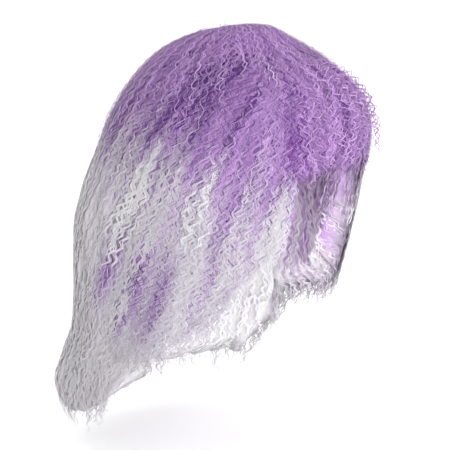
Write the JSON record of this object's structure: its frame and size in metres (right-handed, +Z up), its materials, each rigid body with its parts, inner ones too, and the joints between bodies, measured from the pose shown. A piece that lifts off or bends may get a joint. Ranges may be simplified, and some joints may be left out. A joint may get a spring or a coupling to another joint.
{
  "type": "wig",
  "caption": "Fluffy crimped wig with a full fringe and shoulder-length hair on a thin cloth cap, purple at the roots and fading to white at the ends.",
  "frame": {"origin": "inner crown of the cap, where the top of the head sits", "axes": "+Z up, -Y toward the face, +X toward the wearer's left ear"},
  "size_m": [0.2838, 0.3331, 0.444],
  "materials": {
    "cap_cloth": "matte woven cloth",
    "hair_fringe": "purple crimped fibre",
    "hair_right": "purple to white crimped fibre",
    "hair_left": "purple to white crimped fibre",
    "hair_back": "purple to grey-white crimped fibre"
  },
  "bodies": {
    "root": {"cap": "cap_cloth", "fringe": "hair_fringe", "right_side_hair": "hair_right", "left_side_hair": "hair_left", "back_hair": "hair_back"}
  },
  "joints": []
}
